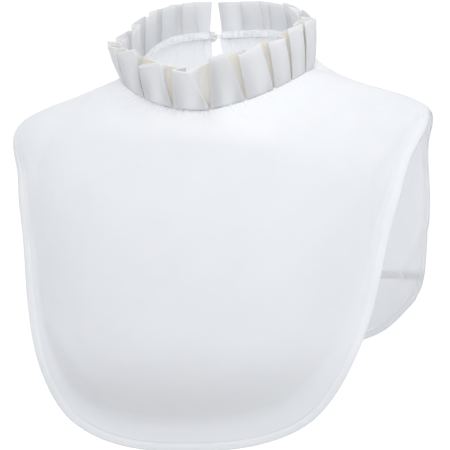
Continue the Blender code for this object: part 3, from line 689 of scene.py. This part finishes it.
def pleat_columns(angle, half_opening, depth, drift, slant, side):
    """One half of an inverted pleat, from the outer face to the middle of its back."""
    stops = [row[0] for row in PLEATS] + list(RUFFLE_ENDS_DEG)
    nearest = min(abs(other - angle) for other in stops if other != angle)
    under = min(0.0095, 0.43 * nearest * arc_per_degree(angle, 0.0))
    top_under = max(under * 0.88, half_opening) + side * slant
    half_depth = depth / 2.0
    edge = 0.00065
    seam = ((edge + FOLD_ROUND, LAYER_PITCH), (edge, LAYER_PITCH / 2), (edge + FOLD_ROUND, 0.0),
            (under - FOLD_ROUND, 0.0), (under, -LAYER_PITCH / 2),
            (under - FOLD_ROUND, -LAYER_PITCH))
    top = ((half_opening + 2.0 * FOLD_ROUND, half_depth),
           (half_opening, half_depth - FOLD_ROUND),
           (half_opening * 0.8 + top_under * 0.2, half_depth * 0.55),
           (half_opening * 0.2 + top_under * 0.8, -half_depth * 0.55),
           (top_under, FOLD_ROUND - half_depth),
           (top_under - 2.0 * FOLD_ROUND, -half_depth))
    columns = []
    for (seam_shift, seam_out), (top_shift, top_out) in zip(seam, top):
        columns.append((angle + side * seam_shift / arc_per_degree(angle, 0.0), seam_out,
                        angle + (side * top_shift + drift) / arc_per_degree(angle, 1.0),
                        top_out))
    return columns


ruffle_columns = [(RUFFLE_ENDS_DEG[0], LAYER_PITCH, RUFFLE_TOP_ENDS_DEG[0], 0.0040)]
column_rise = [PLEATS[0][5]]
for number, (angle, half_opening, depth, drift, slant, left_up, right_up) in enumerate(PLEATS):
    before = pleat_columns(angle, half_opening, depth, drift, slant, -1.0)
    after = pleat_columns(angle, half_opening, depth, drift, slant, 1.0)
    last = ruffle_columns[-1]
    for share in (0.10, 0.40, 0.60, 0.90):
        blend = [a + (b - a) * share for a, b in zip(last, before[0])]
        blend[3] += 0.0007 if 0.2 < share < 0.8 else 0.0003
        ruffle_columns.append(tuple(blend))
        column_rise.append(left_up + (right_up - left_up) * share)
    next_up = PLEATS[number + 1][5] if number + 1 < len(PLEATS) else 0.0
    ruffle_columns.extend(before)
    ruffle_columns.append((angle, -LAYER_PITCH,
                           angle + (drift + slant) / arc_per_degree(angle, 1.0), -depth / 2.0))
    ruffle_columns.extend(reversed(after))
    inner = 0.5 * (right_up + next_up)
    for share in (0.0, 0.0, 0.35, 0.85, 1.0, 1.0, 1.0):
        column_rise.append(right_up + (inner - right_up) * share)
    for share in (1.0, 1.0, 0.85, 0.35, 0.0, 0.0):
        column_rise.append(next_up + (inner - next_up) * share)
ruffle_columns.append((RUFFLE_ENDS_DEG[1], LAYER_PITCH, RUFFLE_TOP_ENDS_DEG[1], 0.0040))
column_rise.append(0.0)
ruffle_columns = np.array(ruffle_columns)
column_rise = np.array(column_rise)
RUFFLE_ROWS = (-0.01, 0.06, 0.20, 0.40, 0.60, 0.78, 0.870, 0.893, 0.915, 0.985, 1.0)
shares = np.repeat(np.array(RUFFLE_ROWS)[None, :], len(ruffle_columns), 0)
top_deg, top_out = ruffle_columns[:, 2:3], ruffle_columns[:, 3:4]
seam_deg, seam_out = ruffle_columns[:, 0:1], ruffle_columns[:, 1:2]
ruffle_places = ruffle_place(seam_deg + (top_deg - seam_deg) * shares,
                             seam_out + (top_out - seam_out) * shares, shares)
ruffle_places[..., 2] += column_rise[:, None] * np.clip(shares, 0.0, 1.0) ** 1.5
ruffle, ruffle_column, ruffle_row = grid_mesh("pleated_ruffle", ruffle_places,
                                              run_lengths(ruffle_places))
# Painted shade in the pleat recesses: how deep each column lies inside a pleat becomes the first
# channel of the Folds map, which darkens the ruffle's colour there.
recess_shade_mask = np.clip((LAYER_PITCH * 0.9 - seam_out) / (2.0 * LAYER_PITCH), 0.0, 1.0)
recess_shade_mask = np.repeat(recess_shade_mask**2, len(RUFFLE_ROWS), 1)
fold_map = ruffle.data.uv_layers.new(name="Folds")
corner_verts = np.zeros(len(ruffle.data.loops), int)
ruffle.data.loops.foreach_get("vertex_index", corner_verts)
fold_values = np.stack((recess_shade_mask, shares), -1)[ruffle_column[corner_verts],
                                             ruffle_row[corner_verts]]
fold_map.data.foreach_set("uv", fold_values.ravel())
ruffle_cloth = woven_material("white ruffle cotton", (0.905, 0.895, 0.895),
                              (0.875, 0.865, 0.865), 0.75, SHIRTING_WEAVE, 0.04)
ruffle_nodes = ruffle_cloth.node_tree.nodes
ruffle_links = ruffle_cloth.node_tree.links
fold_reader = ruffle_nodes.new("ShaderNodeUVMap")
fold_reader.uv_map = "Folds"
fold_parts = ruffle_nodes.new("ShaderNodeSeparateXYZ")
ruffle_links.new(fold_reader.outputs["UV"], fold_parts.inputs["Vector"])
# Painted shade: the ruffle's colour is mixed towards a darker warm brown in the pleat recesses, by
# the Folds map's first channel times 0.70.
painted_recess_shade = ruffle_nodes.new("ShaderNodeMix")
painted_recess_shade.data_type = "RGBA"
painted_recess_shade.inputs["B"].default_value = (0.80, 0.71, 0.57, 1.0)
recess_shade_amount = ruffle_nodes.new("ShaderNodeMath")
recess_shade_amount.operation = "MULTIPLY"
recess_shade_amount.inputs[1].default_value = 0.70
ruffle_links.new(fold_parts.outputs["X"], recess_shade_amount.inputs[0])
ruffle_links.new(recess_shade_amount.outputs[0], painted_recess_shade.inputs["Factor"])
ruffle_links.new(ruffle_nodes["Color Ramp"].outputs["Color"], painted_recess_shade.inputs["A"])
ruffle_links.new(painted_recess_shade.outputs["Result"], ruffle_nodes["Principled BSDF"].inputs["Base Color"])
# Painted shade: the ruffle's inner side is a darker copy of the same cotton, so that the inside of
# the ruffle reads as shaded.
inner_side_painted_shade_cloth = woven_material("white ruffle cotton, inner side with painted shade", (0.74, 0.745, 0.76),
                             (0.70, 0.705, 0.72), 0.75, SHIRTING_WEAVE, 0.04)
ruffle.data.materials.append(ruffle_cloth)
ruffle.data.materials.append(inner_side_painted_shade_cloth)
hem_share = np.clip((np.array(RUFFLE_ROWS) - 0.885) / 0.01, 0.0, 1.0)
thicken(ruffle, RUFFLE_HEM_THICKNESS, hem_share[ruffle_row],
        RUFFLE_THICKNESS / RUFFLE_HEM_THICKNESS, 1, 1)
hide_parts("neck_ruffle")
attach(ruffle, "root")
hem_row = RUFFLE_ROWS.index(0.915)
ruffle_line = ruffle_places[:, hem_row]
ruffle_facing = sheet_normals(ruffle_places)[:, hem_row]
hem_lines = []
for first in range(0, len(ruffle_line) - 5, 17):
    face_line = ruffle_line[first:first + 6]
    face_out = ruffle_facing[first + 2:first + 3].repeat(6, 0)
    hem_lines.append((face_line + face_out * STITCH_LIFT_OUTSIDE, face_out))
    hem_lines.append((face_line - face_out * STITCH_LIFT_OUTSIDE, -face_out))
stitch_rows("ruffle_hem_stitches", hem_lines, sewing_thread, 0.0015, 0.00012, 0.0020)


# The casing inside the neck.
# A narrow band of the same cotton, stitched flat along both its edges over the neck seam,
# so that the elastic in it draws the neck in.
CASING_THICKNESS = 0.0008
CASING_STITCH_ROWS = (3, 11)
casing_deg = np.linspace(RUFFLE_ENDS_DEG[0], RUFFLE_ENDS_DEG[1], 721)
casing_heights = np.array((-0.0027, -0.0024, -0.0021, -0.0018, -0.0015, -0.0010, -0.0004,
                           0.0002, 0.0008, 0.0014, 0.0018, 0.0021, 0.0024, 0.0027, 0.0030))
casing_grid_deg = np.repeat(casing_deg[:, None], len(casing_heights), 1)
casing_rise = np.repeat(casing_heights[None, :], len(casing_deg), 0)
casing_pucker = (0.00030 * np.cos(np.radians(casing_grid_deg * 110.0)
                                  + 2.0 * np.sin(np.radians(casing_grid_deg * 11.0)))
                 + 0.00025 * np.cos(np.radians(casing_grid_deg * 67.0)))
casing_grooves = (np.exp(-((casing_rise + 0.0018) / 0.0004) ** 2)
                  + np.exp(-((casing_rise - 0.0021) / 0.0004) ** 2))
casing_in = 0.0028 + casing_pucker - 0.0005 * casing_grooves
casing_places = body_point(casing_grid_deg, 0.0 * casing_grid_deg)
casing_places = casing_places - neck_outward(casing_grid_deg) * casing_in[..., None]
casing_places[..., 2] += casing_rise
casing = grid_mesh("casing_band", casing_places, run_lengths(casing_places))[0]
thicken(casing, CASING_THICKNESS)
casing.data.materials.append(shirting)
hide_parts("neck_casing")
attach(casing, "root")
casing_inward = -neck_outward(casing_deg)
stitch_rows("casing_stitches",
            [(casing_places[:, line] + casing_inward * 0.00042, casing_inward)
             for line in CASING_STITCH_ROWS],
            sewing_thread, 0.0019, 0.00016, 0.0024)


# The side elastics.
# A flat white woven elastic tape runs under each arm. Its ends lie inside the side hems and
# are sewn down with two bar tacks each.
TAPE_FRONT_END = (46.2, 4.68)
TAPE_BACK_END = (132.0, 5.275)
TAPE_WIDTH = 0.0060
TAPE_THICKNESS = 0.0011
TAPE_BOW = 0.0050
TAPE_ROLL_DEG = 34.0
TAPE_RIB_HEIGHT = 0.00016
for side, node in ((1.0, "side_elastic_left"), (-1.0, "side_elastic_right")):
    tape_material = bpy.data.materials.get("white elastic tape")
    if tape_material is None:
        tape_material = woven_material("white elastic tape", (0.88, 0.88, 0.89),
                                       (0.82, 0.82, 0.84), 0.70, 7000.0, 0.5)
    front_at = (np.array(side * TAPE_FRONT_END[0]), np.array(TAPE_FRONT_END[1]))
    back_at = (np.array(side * TAPE_BACK_END[0]), np.array(TAPE_BACK_END[1]))
    front_end = cloth_point(*front_at, -0.0062)
    back_end = cloth_point(*back_at, -0.0030)
    front_out = cloth_normal(*front_at)
    back_out = cloth_normal(*back_at)
    share = np.linspace(0.0, 1.0, 241)[:, None, None]
    across_share = np.linspace(-0.5, 0.5, 13)[None, :, None]
    along = back_end - front_end
    middle = front_end + along * share
    middle = middle + np.array((side * TAPE_BOW, 0.0, 0.0)) * np.sin(math.pi * share)
    facing = front_out + (back_out - front_out) * share
    across = np.cross(facing, along)
    across = across / np.linalg.norm(across, axis=-1, keepdims=True)
    facing = facing / np.linalg.norm(facing, axis=-1, keepdims=True)
    roll = math.radians(TAPE_ROLL_DEG) * np.sin(math.pi * share) ** 0.5
    across, facing = (across * np.cos(roll) + facing * np.sin(roll),
                      facing * np.cos(roll) - across * np.sin(roll))
    ribs = TAPE_RIB_HEIGHT * np.cos(share * math.tau * 52.0)
    tape_places = middle + across * TAPE_WIDTH * across_share + facing * ribs
    tape = grid_mesh(node + "_tape", tape_places, run_lengths(tape_places))[0]
    thicken(tape, TAPE_THICKNESS)
    tape.data.materials.append(tape_material)
    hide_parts(node)
    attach(tape, "root")
    tacks = []
    for station in (3, 7, 233, 237):
        tack_line = tape_places[station]
        tack_facing = np.repeat(-facing[station], len(tack_line), 0)
        tacks.append((tack_line + tack_facing * 0.0007, tack_facing))
    stitch_rows(node + "_bar_tacks", tacks, sewing_thread, 0.0012, 0.00020, 0.0010)


# The button, its thread shank and its loop.
# A small white four-hole button stands on a wound thread shank outside the left edge of
# the slit, and a fine cord loop from the right edge goes round the shank.
button_material = twisted_material("white button", (0.86, 0.86, 0.85), (0.80, 0.80, 0.79),
                                   0.28, 260.0)
for name, material in (("button", button_material), ("button_stem", sewing_thread),
                       ("button_loop", sewing_thread)):
    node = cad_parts[name]
    node.data.materials.clear()
    node.data.materials.append(material)


# The floor, the light and the camera.
# A plain white studio sweep all round, soft light from the upper right and in front, and
# the camera a little to the wearer's left of the front.
bpy.ops.object.select_all(action="DESELECT")
bpy.ops.mesh.primitive_uv_sphere_add(segments=64, ring_count=32, radius=5.0,
                                     location=(0.0, 0.0, 0.0))
sweep = bpy.context.object
sweep.name = "studio_sweep"
bpy.ops.object.mode_set(mode="EDIT")
bpy.ops.mesh.select_all(action="SELECT")
bpy.ops.mesh.bisect(plane_co=(0.0, 0.0, -0.30), plane_no=(0.0, 0.0, 1.0), clear_inner=True,
                    use_fill=True)
bpy.ops.object.mode_set(mode="OBJECT")
sweep.visible_diffuse = False
sweep.visible_glossy = False
sweep.visible_transmission = False
sweep.visible_shadow = False
paper = bpy.data.materials.new("white paper")
paper.use_nodes = True
paper_surface = paper.node_tree.nodes["Principled BSDF"]
paper_surface.inputs["Base Color"].default_value = (0.0, 0.0, 0.0, 1.0)
paper_surface.inputs["Emission Color"].default_value = (1.0, 1.0, 1.0, 1.0)
paper_surface.inputs["Emission Strength"].default_value = 1.05
paper_surface.inputs["Specular IOR Level"].default_value = 0.0
sweep.data.materials.append(paper)

world = bpy.data.worlds.new("studio")
bpy.context.scene.world = world
world.use_nodes = True
sky = world.node_tree.nodes["Background"]
where = world.node_tree.nodes.new("ShaderNodeTexCoord")
split = world.node_tree.nodes.new("ShaderNodeSeparateXYZ")
ramp = world.node_tree.nodes.new("ShaderNodeMapRange")
ramp.inputs["From Min"].default_value = -1.0
ramp.inputs["From Max"].default_value = 0.6
ramp.inputs["To Min"].default_value = 0.33
ramp.inputs["To Max"].default_value = 0.78
world.node_tree.links.new(where.outputs["Generated"], split.inputs["Vector"])
world.node_tree.links.new(split.outputs["Z"], ramp.inputs["Value"])
world.node_tree.links.new(ramp.outputs["Result"], sky.inputs["Strength"])
sky.inputs["Color"].default_value = (0.950, 0.968, 1.0, 1.0)


def soft_light(name, place, size, power, aim=(0.0, 0.0, -0.1)):
    """A large soft box aimed at the collar."""
    light = bpy.data.lights.new(name, "AREA")
    light.shape = "SQUARE"
    light.size = size
    light.energy = power
    holder = bpy.data.objects.new(name, light)
    bpy.context.collection.objects.link(holder)
    holder.location = place
    holder.rotation_euler = (Vector(aim) - Vector(place)).to_track_quat("-Z", "Y").to_euler()
    return holder


soft_light("key_light", (0.45, -1.7, 0.85), 1.1, 9.4)
soft_light("top_light", (0.45, -0.55, 1.9), 0.9, 3.1)
soft_light("right_light", (1.7, -0.9, 0.2), 1.2, 4.0)
soft_light("left_light", (-1.55, -1.60, 0.50), 1.2, 3.8)
inside_light = soft_light("inside_light", (0.0, -0.045, -0.125), 0.10, 0.13, (0.02, 0.09, -0.07))
inside_light.visible_camera = False

collar_spot = bpy.data.lights.new("collar_spot", "SPOT")
collar_spot.energy = 12.5
collar_spot.spot_size = math.radians(9.0)
collar_spot.spot_blend = 1.0
collar_spot.shadow_soft_size = 0.12
spot_holder = bpy.data.objects.new("collar_spot", collar_spot)
bpy.context.collection.objects.link(spot_holder)
spot_holder.location = (0.50, -1.05, -0.85)
spot_aim = Vector((0.01, -0.05, 0.035)) - spot_holder.location
spot_holder.rotation_euler = spot_aim.to_track_quat("-Z", "Y").to_euler()

azimuth = math.radians(13.0)
elevation = math.radians(6.0)
roll = math.radians(2.6)
backward = Vector((math.sin(azimuth) * math.cos(elevation),
                   -math.cos(azimuth) * math.cos(elevation), math.sin(elevation)))
rightward = Vector((math.cos(azimuth), math.sin(azimuth), 0.0))
upward = backward.cross(rightward)
tilted_right = rightward * math.cos(roll) - upward * math.sin(roll)
tilted_up = upward * math.cos(roll) + rightward * math.sin(roll)
lens = bpy.data.cameras.new("camera")
lens.lens = 117.95
lens.sensor_width = 36.0
lens.clip_end = 20.0
camera = bpy.data.objects.new("camera", lens)
bpy.context.collection.objects.link(camera)
place = Vector((0.001, 0.0, -0.118)) + backward * 1.15
turned = Matrix((tilted_right, tilted_up, backward)).transposed().to_4x4()
camera.matrix_world = Matrix.Translation(place) @ turned
bpy.context.scene.camera = camera
bpy.context.scene.view_settings.view_transform = "Standard"
